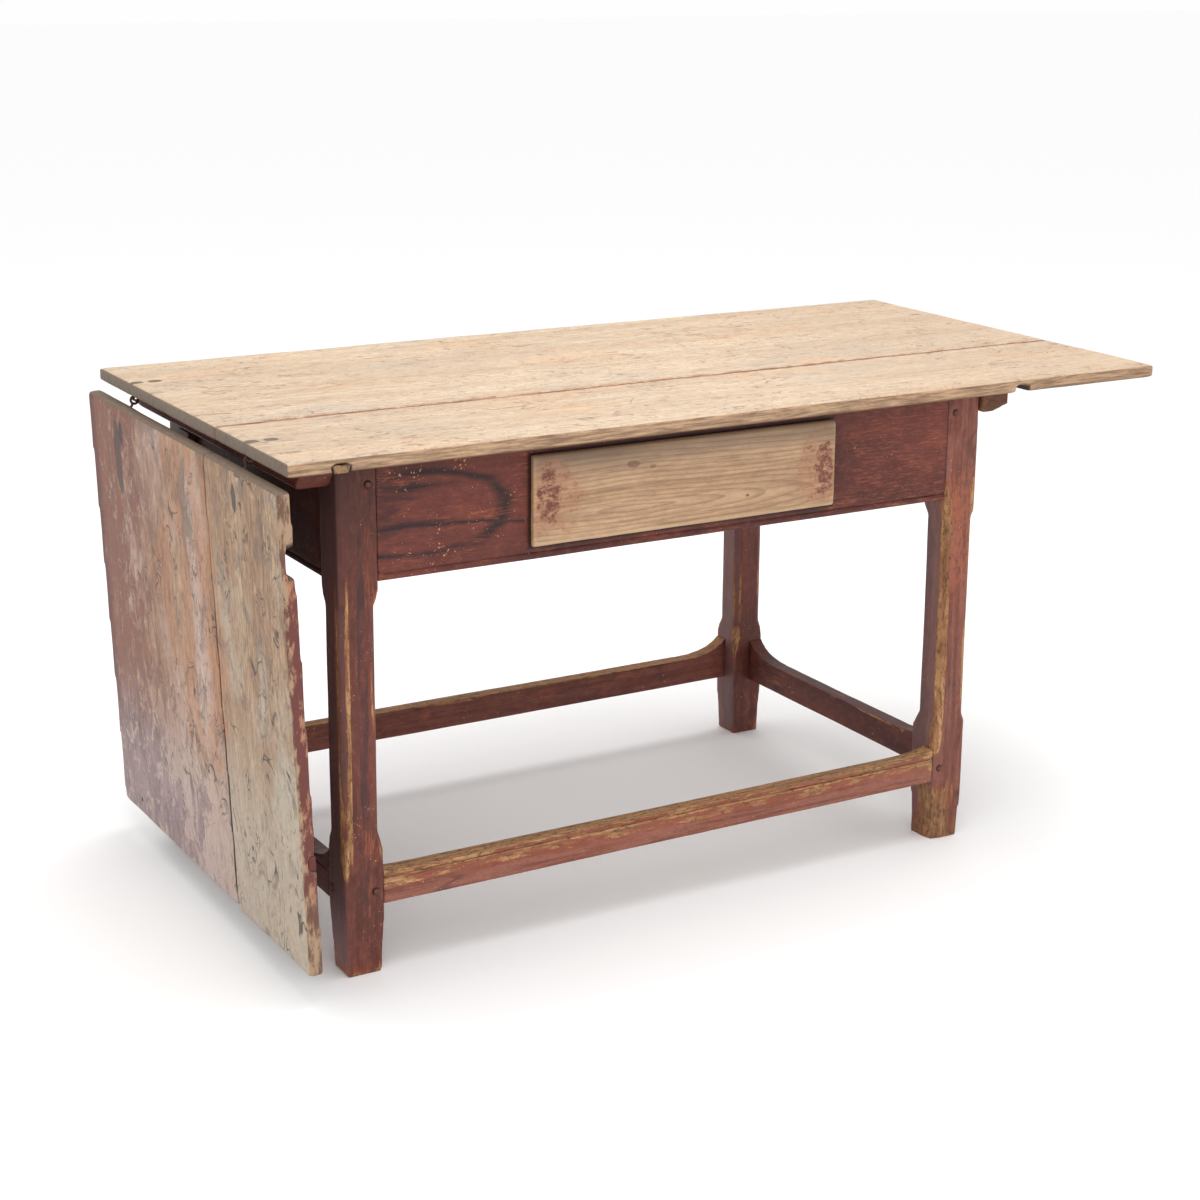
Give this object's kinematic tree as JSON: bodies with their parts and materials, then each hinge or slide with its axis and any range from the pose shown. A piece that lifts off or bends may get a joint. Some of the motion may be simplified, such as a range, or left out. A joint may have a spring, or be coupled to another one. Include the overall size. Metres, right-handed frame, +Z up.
{
  "type": "gateleg table",
  "caption": "Old farmhouse table with a drop leaf on iron eye hinges at one end, a swing gate under it, a drawer in the front apron and low box stretchers.",
  "frame": {"origin": "middle of the footprint, on the floor, with the leaf hanging", "axes": "+X along the table's length away from the leaf, -Y towards the drawer side, +Z up"},
  "size_m": [1.5196, 0.768, 0.77],
  "materials": {
    "red_paint": "worn dark red paint",
    "scrubbed_pine": "scrubbed pale pine",
    "weathered_pine": "worn pine with paint residue",
    "bare_pine": "bare planed pine",
    "raw_pine": "aged raw pine",
    "peg_birch": "dark end grain",
    "forged_iron": "rusty forged"
  },
  "bodies": {
    "frame": {"leg_front_left": "red_paint", "leg_front_right": "red_paint", "leg_back_left": "red_paint", "leg_back_right": "red_paint", "apron_front": "red_paint", "apron_back": "red_paint", "apron_left": "red_paint", "apron_right": "red_paint", "stretcher_front": "red_paint", "stretcher_back": "red_paint", "stretcher_left": "red_paint", "stretcher_right": "red_paint", "peg_apron_long_front_left": "peg_birch", "peg_apron_long_front_right": "peg_birch", "peg_apron_long_back_left": "peg_birch", "peg_apron_long_back_right": "peg_birch", "peg_apron_end_front_left": "peg_birch", "peg_apron_end_front_right": "peg_birch", "peg_apron_end_back_left": "peg_birch", "peg_apron_end_back_right": "peg_birch", "peg_stretcher_long_front_left": "peg_birch", "peg_stretcher_long_front_right": "peg_birch", "peg_stretcher_long_back_left": "peg_birch", "peg_stretcher_long_back_right": "peg_birch", "peg_stretcher_end_front_left": "peg_birch", "peg_stretcher_end_front_right": "peg_birch", "peg_stretcher_end_back_left": "peg_birch", "peg_stretcher_end_back_right": "peg_birch", "top_plank_front": "scrubbed_pine", "top_plank_back": "scrubbed_pine", "top_batten_left": "red_paint", "top_batten_right": "red_paint", "hinge_staple_front": "forged_iron", "hinge_staple_back": "forged_iron", "drawer_runner_left": "raw_pine", "drawer_runner_right": "raw_pine", "drawer_guide_left": "raw_pine", "drawer_guide_right": "raw_pine"},
    "leaf": {"leaf_plank_front": "weathered_pine", "leaf_plank_back": "weathered_pine", "leaf_batten": "red_paint", "leaf_stop_block": "bare_pine", "hinge_eye_front": "forged_iron", "hinge_eye_back": "forged_iron"},
    "gate": {"gate_pivot_post": "red_paint", "gate_leg": "red_paint", "gate_rail_top": "red_paint", "gate_rail_bottom": "red_paint", "gate_pin_top": "peg_birch", "gate_pin_bottom": "peg_birch"},
    "drawer": {"drawer_front": "bare_pine", "drawer_side_left": "raw_pine", "drawer_side_right": "raw_pine", "drawer_back": "raw_pine", "drawer_bottom": "raw_pine"}
  },
  "joints": [
    {"name": "leaf_hinge", "type": "hinge", "parent": "frame", "child": "leaf", "pos_m": [-0.7342, 0, 0.744], "axis": [0, 1, 0], "range_deg": [0, 92.4]},
    {"name": "gate_swing", "type": "hinge", "parent": "frame", "child": "gate", "pos_m": [-0.6357, 0, 0.36], "axis": [0, 0, 1], "range_deg": [0, 61]},
    {"name": "drawer_slide", "type": "slide", "parent": "frame", "child": "drawer", "axis": [0, -1, 0], "range_m": [0, 0.3]}
  ],
  "couplings": [
    {"joint": "gate_swing", "follows": "leaf_hinge", "ratio": 0.66}
  ]
}
